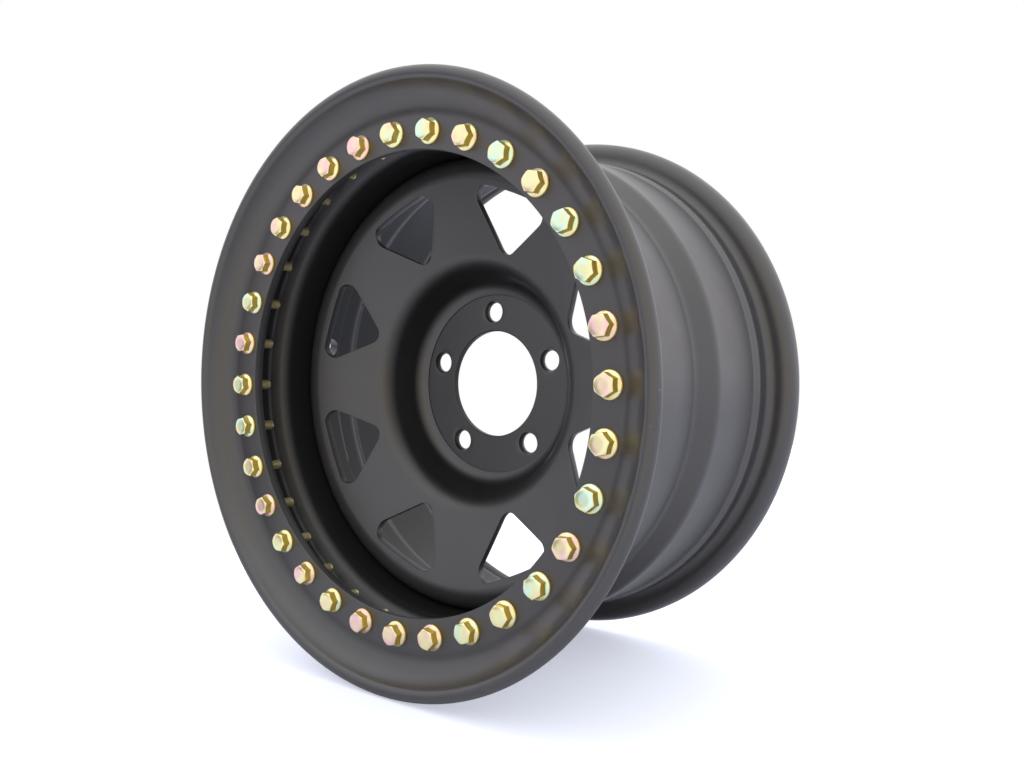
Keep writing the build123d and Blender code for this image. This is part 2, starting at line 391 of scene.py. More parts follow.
def lathe(line, columns, closed=False):
    """A section turned about Y: radius times cosine and sine of the angle for X and Z, its own y for Y."""
    around = np.arange(columns) * TURN / columns
    radius, y = line[:, :1], np.broadcast_to(line[:, 1:], (len(line), columns))
    points = np.stack([radius * np.cos(around), y, radius * np.sin(around)], axis=-1)
    return points.reshape(-1, 3), grid_faces(len(line), columns, wrap_rows=closed)


def edge_rows(edge, from_rear=0, steps=5):
    """A quarter round from the face into a hole: offset, depth, and 1 where depth is from the rear."""
    turn = np.linspace(0, np.pi / 2, steps)
    offset, depth = edge * (1 - np.sin(turn)), edge * (1 - np.cos(turn))
    return np.stack([offset, depth, np.full(steps, from_rear)], axis=1)


def hole_rows(edge_front, edge_rear):
    """Rows of a plain hole's wall: a quarter round at the front and one at the rear."""
    return np.concatenate([edge_rows(edge_front), edge_rows(edge_rear, 1)[::-1]])


def circle(radius, centre, points=720):
    """Points on a circle in plan, centred on the plan's first axis."""
    around = np.arange(points) * TURN / points
    return np.stack([centre + radius * np.cos(around), radius * np.sin(around)], axis=1)


def window_outline(size):
    """A window in plan, on the plan's first axis: a triangle with round corners whose outer edge bows out.

    For a half width w and a bulge b, the bow is an arc of radius (w^2 + b^2) / 2b. Close points fill in each
    run, so that a direction from the window's centre finds its radius.
    """
    half_width = size.window_base * np.tan(size.window_half_angle)
    bow = (half_width**2 + size.window_bulge**2) / (2 * size.window_bulge)
    sweep = np.arcsin(half_width / bow)
    swing = np.linspace(-sweep, sweep, 12)
    middle = size.window_base + size.window_bulge - bow
    base = np.stack([middle + bow * np.cos(swing), bow * np.sin(swing)], axis=1)
    corners = np.concatenate([[(size.window_apex, 0)], base])
    bends = np.zeros(len(corners))
    bends[[0, 1, -1]] = size.window_corner
    line = rounded(corners, bends, closed=True, steps=40, hold=0)
    fill = np.linspace(0, 1, 12, endpoint=False)[None, :, None]
    return (line[:, None] + fill * (np.roll(line, -1, axis=0) - line)[:, None]).reshape(-1, 2)


def pierced(radii, sectors, hole, faces, wall_rows, steps):
    """A round plate with the same hole in each of its equal sectors.

    radii are the plate's inner and outer ones. sectors holds their number, the first one's angle and the
    columns round them all, and steps the rows along a sector's sides and from its border to the hole. Each
    sector is a grid. Its columns go once round the sector's border, and its rows go from the border to
    the hole on the front, down the hole's wall, and back to the border on the rear. A point of the hole lies
    in the border point's direction from the hole's centre, at the outline's radius there. Between the two
    the plan is a straight blend, and the height is the front's or rear's function of the radius. Each of
    wall_rows is an offset out from the outline, a depth, and 1 if the depth is measured from the rear.
    """
    (inner, outer), (holes, start, columns) = radii, sectors
    (front, rear), (sides, rings) = faces, steps
    half, across = np.pi / holes, columns // holes
    out = np.linspace(-half, half, across, endpoint=False)
    slide = (outer - inner) * np.arange(sides) / sides
    border_radius = np.concatenate(
        [np.full(across, outer), outer - slide, np.full(across, inner), inner + slide]
    )
    border_angle = np.concatenate([out, np.full(sides, half), -out, np.full(sides, -half)])
    border = border_radius[:, None] * np.stack([np.cos(border_angle), np.sin(border_angle)], axis=1)
    centre = (hole.min(axis=0) + hole.max(axis=0)) / 2
    spread = hole - centre
    facing = np.arctan2(spread[:, 1], spread[:, 0])
    order = np.argsort(facing)
    aim = np.arctan2(*(border - centre).T[::-1])
    reach = np.interp(aim, facing[order], np.hypot(*spread.T)[order], period=TURN)
    outline = centre + reach[:, None] * np.stack([np.cos(aim), np.sin(aim)], axis=1)
    along = unit(np.roll(outline, -1, axis=0) - np.roll(outline, 1, axis=0))
    outward = np.stack([along[:, 1], -along[:, 0]], axis=1)
    outward *= np.sign((outward * (outline - centre)).sum(axis=1, keepdims=True))
    offset, depth, from_rear = np.asarray(wall_rows, float).T[:, :, None]
    wall = outline + offset[..., None] * outward
    blend = np.linspace(0, 1, rings)[:, None, None]
    front_plan = border + blend * (wall[0] - border)
    rear_plan = border + blend[::-1] * (wall[-1] - border)
    plan = np.concatenate([front_plan, wall[1:-1], rear_plan])
    front_radius, wall_radius, rear_radius = (
        np.hypot(rows[..., 0], rows[..., 1]) for rows in (front_plan, wall[1:-1], rear_plan)
    )
    depth, from_rear = depth[1:-1], from_rear[1:-1]
    wall_y = np.where(from_rear > 0, rear(wall_radius) - depth, front(wall_radius) + depth)
    y = np.concatenate([front(front_radius), wall_y, rear(rear_radius)])
    turn = start + np.arange(holes)[:, None, None] * TURN / holes
    x, z = plan[..., 0], plan[..., 1]
    points = np.stack(
        [
            x * np.cos(turn) - z * np.sin(turn),
            np.broadcast_to(y, (holes, *y.shape)),
            x * np.sin(turn) + z * np.cos(turn),
        ],
        axis=-1,
    )
    return points.reshape(-1, 3), grid_faces(*y.shape, sheets=holes)


def ring_plate(size, radii, hole, heights, edges, sides):
    """A ring's flat plate between two radii and two heights, with its bolt holes."""
    return pierced(
        radii,
        (size.bolt_count, 0, RING_COLUMNS),
        circle(hole, size.bolt_circle),
        [level(height) for height in heights],
        hole_rows(*edges),
        (sides, 4),
    )


def ring_bore(radius, front_y, rear_y, edge):
    """A ring's bore with its two rounded edges, turned about Y."""
    inset = radius + PLATE_INSET
    corners = [(inset, front_y), (radius, front_y), (radius, rear_y), (inset, rear_y)]
    return lathe(rounded(corners, [edge, edge], steps=6), RING_COLUMNS)


def bead(radius, y, thick, start, arc, ripple, depth, taper, around=10, per_ripple=5):
    """Weld beads that follow a circle: round sections whose size swells and drops once per ripple.

    The section's radius is the bead's own, plus the ripple depth times the absolute sine of the distance
    run, and it closes as a quarter ellipse over the taper length at each end. start may be an array.
    """
    steps = int(arc * radius / ripple * per_ripple)
    run = np.linspace(0, 1, steps)
    distance = run * arc * radius
    end = np.clip(np.minimum(distance, distance[-1] - distance) / taper, 0, 1)
    size = (thick + depth * np.abs(np.sin(np.pi * distance / ripple))) * np.sqrt(1 - (1 - end) ** 2)
    turn = np.arange(around) * TURN / around
    place = np.atleast_1d(start)[:, None, None] + (run * arc)[None, :, None]
    away = radius + size[None, :, None] * np.cos(turn)
    height = np.broadcast_to(y + size[None, :, None] * np.sin(turn), (*place.shape[:2], around))
    points = np.stack([away * np.cos(place), height, away * np.sin(place)], axis=-1)
    return points.reshape(-1, 3), grid_faces(steps, around, sheets=len(place))


def bolt_head(size):
    """One flange head on its seat: rings of radius and height that follow the hexagon.

    The hexagon's radius at an angle is half its width over the cosine of the angle from the nearest flat,
    with its corners eased by a high power mean. The washer's cone and the top's chamfer cone each meet it at
    the height that their slope gives for that radius.
    """
    across = np.radians([-30, -28.6, -27, -23, -15, -5, 5, 15, 23, 27, 28.6])
    around = np.add.outer(np.arange(6) * TURN / 6, across).ravel()
    facing = np.clip(np.cos(around[:, None] - np.arange(6) * TURN / 6), 0, None)
    power = 70
    hexagon = size.flats / 2 * (facing**power).sum(axis=1) ** (-1 / power)
    ease, slope, chamfer = size.ease, np.tan(size.washer_slope), np.tan(size.top_angle)
    washer_y = size.washer_edge + (size.washer - hexagon) * slope
    chamfer_y = size.head - (hexagon - size.top) * chamfer
    rings = [
        (0, 0),
        (size.washer - ease, 0),
        (size.washer, ease),
        (size.washer, size.washer_edge - 2 * ease),
        (size.washer - 0.5 * ease, size.washer_edge - 0.5 * ease),
        (size.washer - 2 * ease, size.washer_edge + 2 * ease * slope),
        (hexagon + 2 * ease, washer_y - 2 * ease * slope),
        (hexagon + 0.4 * ease, washer_y + 0.4 * ease),
        (hexagon, washer_y + 2 * ease),
        (hexagon, chamfer_y - ease),
        (hexagon - 0.4 * ease, chamfer_y - 0.1 * ease),
        (hexagon - 1.4 * ease, chamfer_y + 1.4 * ease * chamfer),
        (size.top + ease, size.head - ease * chamfer),
        (size.top - ease, size.head),
        (0.5 * size.top, size.head),
        (0, size.head),
    ]
    even = np.ones_like(around)
    radius, height = (np.array([ring[part] * even for ring in rings]) for part in (0, 1))
    points = np.stack([radius * np.cos(around), radius * np.sin(around), height], axis=-1)
    return points.reshape(-1, 3), grid_faces(len(rings), len(around))


def bolt_thread(size, columns=20):
    """One threaded shank: a grid whose rows run along the helix, so that crest and root stay sharp.

    A row's height falls by one pitch in a turn, and the four rows of each pitch are the crest's two edges
    and the root's two edges. Heights are held between the plain shank and the tip, and the radius is held
    under the tip's chamfer, so the rows past each end close on a ring.
    """
    pitches = int(np.ceil((size.reach - size.plain) / size.pitch)) + 2
    phase = np.add.outer(np.arange(pitches), [0, 0.125, 0.4375, 0.6875]).ravel()[:, None]
    crest = np.tile([1.0, 1.0, 0.0, 0.0], pitches)[:, None]
    around = np.linspace(0, TURN, columns + 1)
    height = -size.plain - (phase + around / TURN - 1) * size.pitch
    radius = size.root + (size.radius - size.root) * crest
    radius = np.where(height >= -size.plain, size.radius, radius)
    height = np.clip(height, -size.reach, -size.plain)
    radius = np.minimum(radius, size.radius - size.tip + height + size.reach)
    top = np.zeros((2, columns + 1))
    radius = np.concatenate([top, radius, top[:1]])
    radius[1] = size.radius
    height = np.concatenate([top + size.washer_edge, height, top[:1] - size.reach])
    points = np.stack([radius * np.cos(around), radius * np.sin(around), height], axis=-1)
    return points.reshape(-1, 3), grid_faces(*height.shape, wrap_columns=False)


# Pieces


def add_object(name, points, faces, attributes=None):
    """A mesh object at the origin, with its seams closed and its faces turned outwards."""
    mesh = bpy.data.meshes.new(name)
    mesh.from_pydata(points.tolist(), [], faces.tolist())
    for key, values in (attributes or {}).items():
        mesh.attributes.new(key, "FLOAT", "POINT").data.foreach_set("value", values.astype(np.float32))
    merged = bmesh.new()
    merged.from_mesh(mesh)
    bmesh.ops.remove_doubles(merged, verts=merged.verts, dist=SAME_POINT)
    bmesh.ops.dissolve_degenerate(merged, edges=merged.edges, dist=NO_EDGE)
    bmesh.ops.recalc_face_normals(merged, faces=merged.faces)
    merged.to_mesh(mesh)
    merged.free()
    made = bpy.data.objects.new(name, mesh)
    bpy.context.scene.collection.objects.link(made)
    return made


def add_piece(name, surfaces, material, node=None, attributes=None):
    """Joins surfaces into one piece of the wheel that rides on the body and may stand in for a CAD node."""
    sizes = np.cumsum([0] + [len(points) for points, _ in surfaces])
    points = np.concatenate([points for points, _ in surfaces])
    faces = np.concatenate([faces + size for (_, faces), size in zip(surfaces, sizes)])
    piece = add_object(name, points, faces, attributes)
    smooth(piece.data)
    piece.data.materials.append(material)
    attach(piece, "root")
    if node:
        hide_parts(node)
    return piece


def smooth(mesh):
    """Smooth shading that stays sharp where two faces meet at a clear angle."""
    mesh.shade_smooth()
    mesh.set_sharp_from_angle(angle=SMOOTH_ANGLE)


def drill_valve_hole(piece, rim, near, far, sides=48):
    """Takes the valve hole's radial cylinder out of a piece, from one distance from the axis to another."""
    turn, around = rim.valve_angle, np.arange(sides) * TURN / sides
    out = np.array([np.cos(turn), 0, np.sin(turn)])
    across = np.array([-np.sin(turn), 0, np.cos(turn)])
    ring = rim.valve_radius * (np.cos(around)[:, None] * across + np.sin(around)[:, None] * [0, 1, 0])
    swell = np.array([0, 1, 1, 0])[:, None, None]
    points = ring * swell + np.array([near, near, far, far])[:, None, None] * out + [0, rim.valve_y, 0]
    tool = add_object("drill", points.reshape(-1, 3), grid_faces(4, sides))
    cut = piece.modifiers.new("drill", "BOOLEAN")
    cut.object, cut.operation, cut.solver = tool, "DIFFERENCE", "EXACT"
    bpy.context.view_layer.update()
    drilled = bpy.data.meshes.new_from_object(piece.evaluated_get(bpy.context.evaluated_depsgraph_get()))
    piece.modifiers.clear()
    blank, name = piece.data, piece.data.name
    if len(drilled.vertices) == len(blank.vertices):
        raise RuntimeError(f"the valve hole in {piece.name} was not cut")
    piece.data = drilled
    for spent in (blank, tool.data):
        bpy.data.meshes.remove(spent)
    drilled.name = name
    smooth(drilled)


# Finishes


def add_node(tree, kind, inputs=None, result=0, **settings):
    """Adds one shader node and gives back an output: inputs are values or the outputs that feed them."""
    made = tree.nodes.new("ShaderNode" + kind)
    for key, value in settings.items():
        setattr(made, key, value)
    for key, value in (inputs or {}).items():
        if isinstance(value, bpy.types.NodeSocket):
            tree.links.new(value, made.inputs[key])
        else:
            made.inputs[key].default_value = value
    return made.outputs[result] if made.outputs else None


def per(millimetres):
    """Pattern scale that gives one cell for each so many millimetres."""
    return 1000 / millimetres


def new_material(name):
    """An empty node material, and a call that adds a node to it."""
    material = bpy.data.materials.new(name)
    material.use_nodes = True
    material.node_tree.nodes.clear()
    return material, partial(add_node, material.node_tree)


# A Mix node has a socket of each name for each type: its inputs 0, 6 and 7 are the factor and two colours,
# and its output 2 is the mixed colour


def powder_coat(finish, rings):
    """Satin black polyester powder coat, sprayed and baked on steel.

    The eye sees an even, nearly neutral black with a soft sheen that pales towards grazing views, a fine
    orange peel, broad faint clouds where the film is thinner, a few pale dust nibs and rubbed spots on the
    lip. Painted shade gives a darker colour and a weaker sheen to faces that point at the axis behind the
    clamp ring's face, and to the clamp ring's inner corner.
    """
    name = "satin black powder coat"
    if name in bpy.data.materials:
        return bpy.data.materials[name]
    material, add = new_material(name)
    place = add("TexCoord", result="Object")
    clouds = add("TexNoise", {"Vector": place, "Scale": per(70), "Detail": 3, "Roughness": 0.5})
    film = add("Mix", {0: clouds, 6: finish.coat, 7: finish.coat_pale}, 2, data_type="RGBA")
    # A face is hollow as far as its normal points at the wheel's axis
    flat = add("VectorMath", {0: place, 1: (1, 0, 1)}, operation="MULTIPLY")
    away = add("VectorMath", {0: flat}, operation="NORMALIZE")
    normal = add("TexCoord", result="Normal")
    outward = add("VectorMath", {0: away, 1: normal}, "Value", operation="DOT_PRODUCT")
    hollow = add(
        "MapRange",
        {"Value": outward, "From Min": -0.45, "From Max": -0.95},
        interpolation_type="SMOOTHSTEP",
    )
    # Painted shade on hollow faces, coming in over the first 14 mm behind the clamp ring's face
    depth = add("SeparateXYZ", {0: place}, "Y")
    face_y = rings.clamp_front_y
    behind = add("MapRange", {"Value": depth, "From Min": face_y, "From Max": face_y + 14 * MM})
    painted_shade = add("Math", {0: hollow, 1: behind}, operation="MULTIPLY")
    # Painted shade in the crease, over 5 mm to each side of the corner between the clamp ring's flat and its
    # band
    radius = add("VectorMath", {0: flat}, "Value", operation="LENGTH")
    beside = add("Math", {0: radius, 1: rings.band_foot + 0.4 * MM}, operation="SUBTRACT")
    beside = add("Math", {0: beside}, operation="ABSOLUTE")
    corner = add(
        "MapRange",
        {"Value": beside, "From Min": 5.5 * MM, "From Max": 0.5 * MM, "To Max": 0.28},
        interpolation_type="SMOOTHSTEP",
    )
    ahead = add("Math", {0: depth, 1: face_y + 2 * MM}, operation="LESS_THAN")
    corner = add("Math", {0: corner, 1: ahead}, operation="MULTIPLY")
    painted_shade = add("Math", {0: painted_shade, 1: corner}, operation="MAXIMUM")
    # Painted shade: the mask darkens the coat's colour here and weakens its sheen in the next line
    film = add("Mix", {0: painted_shade, 6: film, 7: finish.coat_painted_shade}, 2, data_type="RGBA")
    gleam = add("MapRange", {"Value": painted_shade, "To Min": 0.85, "To Max": 0.25})
    # Dust nibs are about 0.5 mm across, one to a 26 mm cell, and only in cells that draw a high number
    nibs = add("TexVoronoi", {"Vector": place, "Scale": per(26), "Randomness": 1})
    nib = add("MapRange", {"Value": nibs, "From Min": 0.013, "From Max": 0.006})
    draw = add("SeparateColor", {"Color": nibs.node.outputs["Color"]}, "Red")
    chosen = add("Math", {0: draw, 1: 0.72}, operation="GREATER_THAN")
    nib = add("Math", {0: nib, 1: chosen}, operation="MULTIPLY")
    # Rubbed spots come in over the outermost 5 mm of the lip
    lip_start, lip_full = rings.lip_circle - 0.6 * MM, rings.lip_circle + 3.4 * MM
    lip = add("MapRange", {"Value": radius, "From Min": lip_start, "From Max": lip_full})
    rubs = add("TexNoise", {"Vector": place, "Scale": per(9), "Detail": 4, "Roughness": 0.7})
    rub = add("MapRange", {"Value": rubs, "From Min": 0.66, "From Max": 0.74, "To Max": 0.5})
    rub = add("Math", {0: rub, 1: lip}, operation="MULTIPLY")
    mark = add("Math", {0: nib, 1: rub}, operation="MAXIMUM")
    skin = add("Mix", {0: mark, 6: film, 7: finish.speck}, 2, data_type="RGBA")
    sheen = add("TexNoise", {"Vector": place, "Scale": per(24), "Detail": 2, "Roughness": 0.5})
    smoothest, roughest = finish.coat_roughness - 0.03, finish.coat_roughness + 0.03
    rough = add(
        "MapRange",
        {"Value": sheen, "From Min": 0.25, "From Max": 0.75, "To Min": smoothest, "To Max": roughest},
    )
    # Orange peel is about 0.8 mm in the real coat, drawn at 1.6 mm so that it shows in a render
    peel = add("TexNoise", {"Vector": place, "Scale": per(1.6), "Detail": 1, "Roughness": 0.4})
    bump = add("Bump", {"Strength": 0.12, "Distance": 0.2 * MM, "Height": peel})
    surface = add(
        "BsdfPrincipled",
        {"Base Color": skin, "Roughness": rough, "Normal": bump, "IOR": 1.5, "Specular IOR Level": gleam},
    )
    add("OutputMaterial", {"Surface": surface})
    return material


def yellow_zinc(finish, rings):
    """Zinc plate with a yellow chromate film, barrel plated on cold headed steel.

    The eye sees pale metal with an oil-like tint that differs from bolt to bolt, from mint green through
    gold to salmon pink, and drifts over each head. Tops and washers look pale. The deeper gold on the steep
    sides is painted reflection, and the duller, darker colour of the threads behind the clamp ring is
    painted shade.
    """
    material, add = new_material("yellow zinc plate")
    place = add("TexCoord", result="Object")
    tint = add("Attribute", result="Fac", attribute_name="tint")
    drift = add("TexNoise", {"Vector": place, "Scale": per(9), "Detail": 1, "Roughness": 0.5})
    drifted = add(
        "MapRange", {"Value": drift, "From Min": 0.3, "From Max": 0.7, "To Min": -0.4, "To Max": 0.4}
    )
    ramp = add("ValToRGB", {"Fac": add("Math", {0: tint, 1: drifted}, operation="ADD")})
    stops = ramp.node.color_ramp.elements
    stops[0].color, stops[1].color = finish.zinc_mint, finish.zinc_pink
    for position, stop in ((0.25, finish.zinc_lime), (0.5, finish.zinc_gold), (0.75, finish.zinc_peach)):
        stops.new(position).color = stop
    # Steep faces are those whose normal lies far from the wheel's axis
    lean = add("SeparateXYZ", {0: add("TexCoord", result="Normal")}, "Y")
    flat = add("Math", {0: lean}, operation="ABSOLUTE")
    steep = add("MapRange", {"Value": flat, "From Min": 0.8, "From Max": 0.3})
    # Painted reflection: steep faces take the deeper gold, while tops and washers keep the pale tints
    plate = add("Mix", {0: steep, 6: ramp, 7: finish.zinc_side_reflection}, 2, data_type="RGBA")
    # Painted shade: the threads, behind the clamp ring, take a duller, darker colour than the heads ahead of
    # it
    depth = add("SeparateXYZ", {0: place}, "Y")
    threads = add(
        "MapRange", {"Value": depth, "From Min": rings.clamp_front_y, "From Max": rings.clamp_rear_y}
    )
    plate = add("Mix", {0: threads, 6: plate, 7: finish.zinc_thread_shade}, 2, data_type="RGBA")
    # The steep sides, which carry the painted reflection, are a little less metallic
    bare = add("MapRange", {"Value": steep, "To Min": 0.65, "To Max": 0.6})
    smoothest, roughest = finish.zinc_roughness - 0.06, finish.zinc_roughness + 0.06
    rough = add("MapRange", {"Value": drift, "To Min": smoothest, "To Max": roughest})
    # Barrel plating leaves dents about 0.9 mm across
    dents = add("TexNoise", {"Vector": place, "Scale": per(0.9), "Detail": 1, "Roughness": 0.5})
    bump = add("Bump", {"Strength": 0.15, "Distance": 0.1 * MM, "Height": dents})
    surface = add(
        "BsdfPrincipled", {"Base Color": plate, "Metallic": bare, "Roughness": rough, "Normal": bump}
    )
    add("OutputMaterial", {"Surface": surface})
    return material


# Operators


class WHEEL_OT_rolled_rim(bpy.types.Operator):
    """Rolls the rim barrel from one sheet and punches its valve hole"""

    bl_idname = "wheel.rolled_rim"
    bl_label = "Rolled rim"

    def execute(self, context):
        scene, size = context.scene, context.scene.wheel_rim
        taper = np.tan(size.seat_taper)
        seat_front = size.seat_radius - size.hump_rear * taper
        line = [
            (size.seat_radius, size.front_y),
            (size.seat_radius - (size.front_ledge_y - size.front_y) * taper, size.front_ledge_y),
            (size.well_radius, size.well_front_y),
            (size.well_radius, size.well_rear_y),
            (size.ledge_radius, size.ledge_y),
            (size.ledge_radius + size.ledge_rise, size.rear_y - size.hump_front),
            (seat_front + size.hump_height, size.rear_y - size.hump_top),
            (seat_front, size.rear_y - size.hump_rear),
            (size.seat_radius, size.rear_y),
            (size.flange_radius, size.rear_y),
            (size.flange_radius, size.rear_y + size.flange_reach),
        ]
        bends = [size.well_bend] * 4 + [size.hump_bend] * 3 + [size.seat_bend, size.flange_bend]
        inside, inside_bends = offset_line(line, bends, size.wall)
        edge = [size.sheet_edge]
        loop = rounded(
            np.concatenate([line, inside[::-1]]),
            np.concatenate([edge, bends, edge, edge, inside_bends[::-1], edge]),
            closed=True,
            steps=7,
        )
        coat = powder_coat(scene.wheel_finish, scene.wheel_rings)
        turned = [lathe(loop, RIM_COLUMNS, closed=True)]
        piece = add_piece("rolled_rim", turned, coat, "rim_barrel")
        drill_valve_hole(piece, size, size.well_radius - 3 * size.wall, size.well_radius + 3 * size.wall)
        return {"FINISHED"}


class WHEEL_OT_pressed_disc(bpy.types.Operator):
    """Presses the wheel disc with its hub pad, bowl, windowed face, crown and flange"""

    bl_idname = "wheel.pressed_disc"
    bl_label = "Pressed disc"

    def execute(self, context):
        scene, size = context.scene, context.scene.wheel_disc
        wall_rise, face_rise = np.tan(size.wall_angle), np.tan(size.face_slope)
        wall_start = wall_rise * size.foot_radius - size.thickness
        face_start = face_rise * size.radius + size.crown_y
        bowl_radius = (wall_start - face_start) / (wall_rise - face_rise)
        line = [
            (size.bore_radius, -size.thickness),
            (size.foot_radius, -size.thickness),
            (bowl_radius, wall_start - wall_rise * bowl_radius),
            (size.radius, size.crown_y),
            (size.radius, size.flange_y),
        ]
        bends = [size.foot_back - size.thickness, size.rim_bend, size.crown_bend]
        back, back_bends = offset_line(line, bends, size.thickness)

        def face(radius):
            return face_start - face_rise * radius

        def face_rear(radius):
            return face(radius) + size.thickness / np.cos(size.face_slope)

        bowl_turn, crown_turn = size.wall_angle - size.face_slope, np.pi / 2 + size.face_slope
        bowl_reach = size.rim_bend * np.tan(bowl_turn / 2) * np.cos(size.face_slope)
        crown_reach = size.crown_bend * np.tan(crown_turn / 2) * np.cos(size.face_slope)
        face_in = bowl_radius + bowl_reach + RUN_OUT
        face_out = size.radius - crown_reach - RUN_OUT
        pad_in, pad_out = size.bore_radius + size.bore_land, size.pad_radius - size.pad_land
        pad_y = size.pad_recess - size.thickness
        bore = rounded(
            [
                (pad_in, pad_y),
                (size.bore_radius + size.bore_chamfer, pad_y),
                (size.bore_radius, pad_y + size.bore_chamfer),
                (size.bore_radius, 0),
                (pad_in, 0),
            ],
            [size.machined_edge, size.machined_edge, size.rear_edge],
            steps=4,
        )
        # The pad is coined into the bowl's foot, whose bend is already on a slope at the pad's edge
        foot_start = size.foot_radius - size.foot_bend * np.tan(size.wall_angle / 2)
        lean = np.arcsin((size.pad_radius - foot_start) / size.foot_bend)
        edge_y = -size.thickness - size.foot_bend * (1 - np.cos(lean))
        rest = size.foot_bend * np.tan((size.wall_angle - lean) / 2)
        foot = (size.pad_radius + rest * np.cos(lean), edge_y - rest * np.sin(lean))
        bowl = rounded(
            [
                (pad_out, pad_y),
                (size.pad_radius, pad_y),
                (size.pad_radius, edge_y),
                foot,
                line[2],
                (face_in, face(face_in)),
            ],
            [size.pad_edge, size.pad_edge, size.foot_bend * (1 - RUN_OUT / rest), size.rim_bend],
            steps=14,
        )
        bowl_rear = rounded(
            [(pad_out, 0), back[1], back[2], (face_in, face_rear(face_in))], back_bends[:2], steps=14
        )
        crown_ends = [(face_out, face(face_out)), (face_out, face_rear(face_out))]
        crown = rounded(
            [crown_ends[0], line[3], line[4], back[4], back[3], crown_ends[1]],
            [size.crown_bend, size.flange_edge, size.flange_edge, back_bends[2]],
            steps=12,
        )
        windows = pierced(
            (face_in, face_out),
            (size.window_count, size.window_start, DISC_COLUMNS),
            window_outline(size),
            (face, face_rear),
            hole_rows(size.window_edge, size.rear_edge),
            (20, 9),
        )
        # The nut seat is a cone in front of the plain hole, with its corner eased
        seat, ease = size.stud_seat - size.stud_radius, size.machined_edge
        seat_depth = seat / np.tan(size.seat_half_angle)
        stud_rows = np.concatenate(
            [
                edge_rows(size.stud_edge, steps=4) + [seat, 0, 0],
                [(ease, seat_depth - ease, 0), (0, seat_depth + ease, 0)],
                edge_rows(size.stud_edge, 1, steps=4)[::-1],
            ]
        )
        studs = pierced(
            (pad_in, pad_out),
            (size.stud_count, size.stud_start, DISC_COLUMNS),
            circle(size.stud_radius, size.stud_circle),
            (level(pad_y), level(0)),
            stud_rows,
            (16, 7),
        )
        turned = [lathe(section, DISC_COLUMNS) for section in (bore, bowl, bowl_rear, crown)]
        coat = powder_coat(scene.wheel_finish, scene.wheel_rings)
        piece = add_piece("pressed_disc", [*turned, studs, windows], coat, "wheel_disc")
        near, far = size.radius - 2 * size.thickness, size.radius + size.thickness
        drill_valve_hole(piece, scene.wheel_rim, near, far)
        return {"FINISHED"}


class WHEEL_OT_lock_ring(bpy.types.Operator):
    """Makes the flat tapped ring inside the rim's front edge"""

    bl_idname = "wheel.lock_ring"
    bl_label = "Lock ring"

    def execute(self, context):
        scene, size = context.scene, context.scene.wheel_rings
        front_y, rear_y = size.clamp_rear_y, size.lock_rear_y
        outside = size.lock_outer - PLATE_INSET
        rim = rounded(
            [
                (outside, front_y),
                (size.lock_outer, front_y),
                (size.lock_outer - size.lock_taper, rear_y),
                (outside, rear_y),
            ],
            [size.lock_edge] * 2,
            steps=3,
        )
        radii, edges = (size.lock_inner + PLATE_INSET, outside), (size.lock_edge, size.lock_hole_edge)
        plate = ring_plate(size, radii, size.lock_hole, (front_y, rear_y), edges, 8)
        bore = ring_bore(size.lock_inner, front_y, rear_y, size.edge)
        surfaces = [bore, plate, lathe(rim, RING_COLUMNS)]
        coat = powder_coat(scene.wheel_finish, size)
        add_piece("tapped_lock_ring", surfaces, coat, "inner_lock_ring")
        return {"FINISHED"}


class WHEEL_OT_clamp_ring(bpy.types.Operator):
    """Makes the bolted clamp ring with its sloping band and rolled lip"""

    bl_idname = "wheel.clamp_ring"
    bl_label = "Clamp ring"

    def execute(self, context):
        scene, size = context.scene, context.scene.wheel_rings
        front_y, rear_y = size.clamp_front_y, size.clamp_rear_y
        thick = rear_y - front_y
        outside = size.band_foot - size.band_land
        radii, edges = (size.clamp_inner + PLATE_INSET, outside), [size.clamp_hole_edge] * 2
        plate = ring_plate(size, radii, size.clamp_hole, (front_y, rear_y), edges, 10)
        lip_foot = (size.lip_circle, size.lip_y + size.lip_proud)
        line = np.array([(outside, front_y), (size.band_foot, front_y), lip_foot])
        back, back_bends = offset_line(line, [size.band_bend], thick)
        along = unit(line[2] - line[1])
        out = np.array([along[1], -along[0]])
        edge = self.rolled_edge(size, -size.lip_proud * along[0], thick)
        edge = (size.lip_circle, size.lip_y) + edge[:, :1] * along + edge[:, 1:] * out
        front_line = rounded([*line[:2], edge[0]], [size.band_bend], steps=12)
        rear_corners = [*edge[-2:], back[1], (outside, rear_y)]
        rear_line = rounded(rear_corners, [size.lip_radius, *back_bends], steps=12)
        band = np.concatenate([front_line, edge[1:-2], rear_line])
        bore = ring_bore(size.clamp_inner, front_y, rear_y, size.edge)
        surfaces = [bore, plate, lathe(band, RING_COLUMNS)]
        coat = powder_coat(scene.wheel_finish, size)
        add_piece("rolled_clamp_ring", surfaces, coat, "outer_clamp_ring")
        return {"FINISHED"}

    def rolled_edge(self, size, base, thick):
        """The lip's section, along and ahead of the band, from the lip's own centre

        The hollow in front is a circle that touches band and lip from outside: its centre is one hollow
        radius ahead of the band, whose level is the base, and the sum of both radii from the lip's centre.
        The lip then runs round to its heel, where its tangent goes on to the back of the band.
        """
        ahead = base + size.lip_blend
        behind = np.sqrt((size.lip_radius + size.lip_blend) ** 2 - ahead**2)
        turn = np.linspace(-np.pi / 2, np.arctan2(-ahead, behind), 9)[:, None]
        hollow = (-behind, ahead) + size.lip_blend * np.concatenate([np.cos(turn), np.sin(turn)], axis=1)
        roll = np.linspace(np.arctan2(ahead, -behind), -size.lip_heel, 44)[:, None]
        lip = size.lip_radius * np.concatenate([np.cos(roll), np.sin(roll)], axis=1)
        leave = np.array([-np.sin(size.lip_heel), -np.cos(size.lip_heel)])
        heel = lip[-1] + (base - thick - lip[-1, 1]) / leave[1] * leave
        return np.concatenate([hollow, lip[1:], [heel]])


